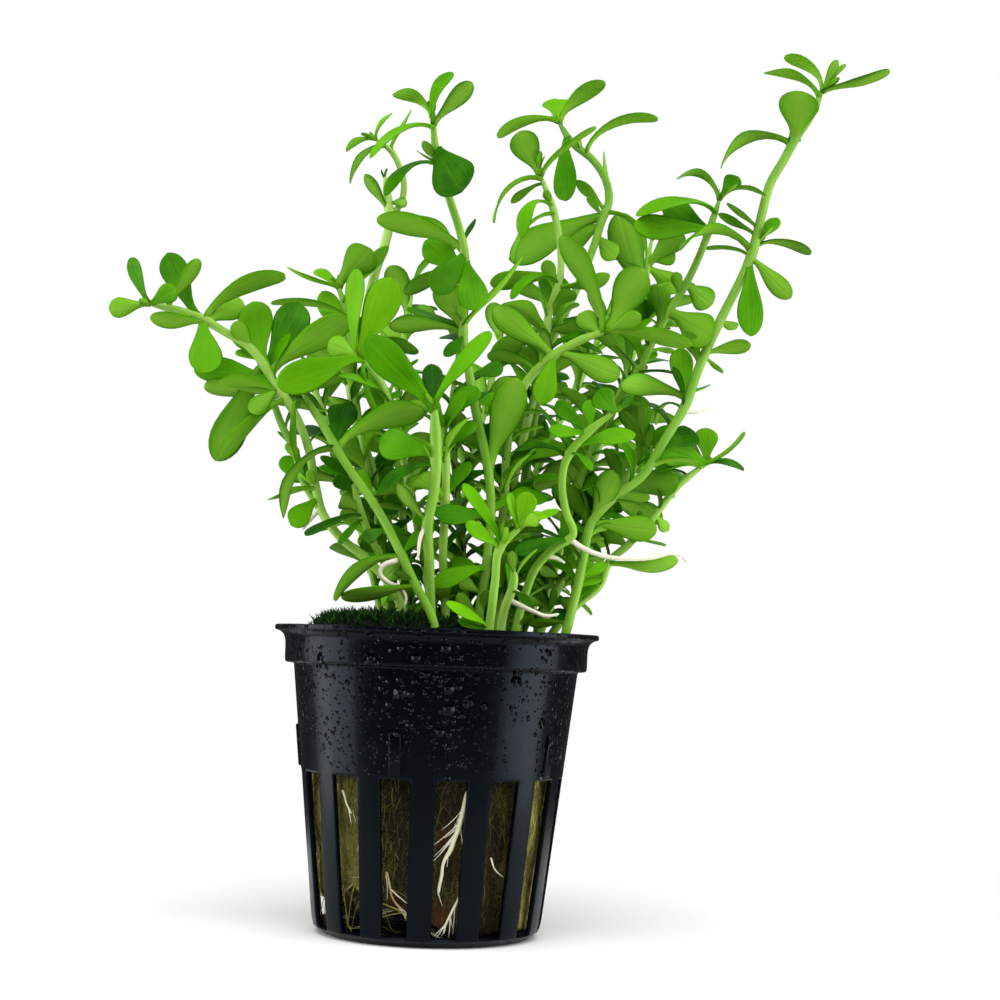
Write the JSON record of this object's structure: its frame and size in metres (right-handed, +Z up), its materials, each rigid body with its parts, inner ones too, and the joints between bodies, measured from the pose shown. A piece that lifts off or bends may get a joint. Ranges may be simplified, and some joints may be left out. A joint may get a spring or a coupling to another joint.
{
  "type": "potted water hyssop",
  "caption": "Bushy aquarium plant: upright stems with paired spoon-shaped leaves, rooted in mineral wool in a black slotted net pot.",
  "frame": {"origin": "centre of the pot's underside, on the surface the pot stands on", "axes": "+Z up, -Y towards the side that the picture shows, +X to the right of that view"},
  "size_m": [0.1311, 0.078, 0.1528],
  "materials": {
    "pot_black": "satin black polypropylene",
    "wool_olive": "wet fibrous mineral wool, olive brown",
    "moss_dark": "dark green moss cushion",
    "shoot_green": "smooth fresh green leaves and stems",
    "root_cream": "cream young roots"
  },
  "bodies": {
    "root": {"net_pot": "pot_black", "wool_plug": "wool_olive", "moss_cushion": "moss_dark", "shoot_tall_right": "shoot_green", "shoot_low_right": "shoot_green", "shoot_curved": "shoot_green", "shoot_right_behind": "shoot_green", "shoot_right_far": "shoot_green", "shoot_middle_right": "shoot_green", "shoot_right_top": "shoot_green", "shoot_centre_top": "shoot_green", "shoot_centre": "shoot_green", "shoot_left_behind": "shoot_green", "branch_left_behind": "shoot_green", "shoot_far_left": "shoot_green", "branch_left": "shoot_green", "shoot_front_left": "shoot_green", "shoot_centre_front": "shoot_green", "shoot_centre_short": "shoot_green", "shoot_front_bright": "shoot_green", "shoot_front_low": "shoot_green", "shoot_right_inner": "shoot_green", "shoot_left_upper": "shoot_green", "shoot_left_centre": "shoot_green", "shoot_back_left": "shoot_green", "shoot_back_centre_left": "shoot_green", "shoot_back_centre": "shoot_green", "shoot_back_right": "shoot_green", "shoot_back_low_right": "shoot_green", "shoot_left_low": "shoot_green", "shoot_front_inner": "shoot_green", "shoot_middle": "shoot_green", "root_main": "root_cream", "root_main_lower": "root_cream", "root_left": "root_cream", "root_middle": "root_cream", "root_right": "root_cream"}
  },
  "joints": []
}
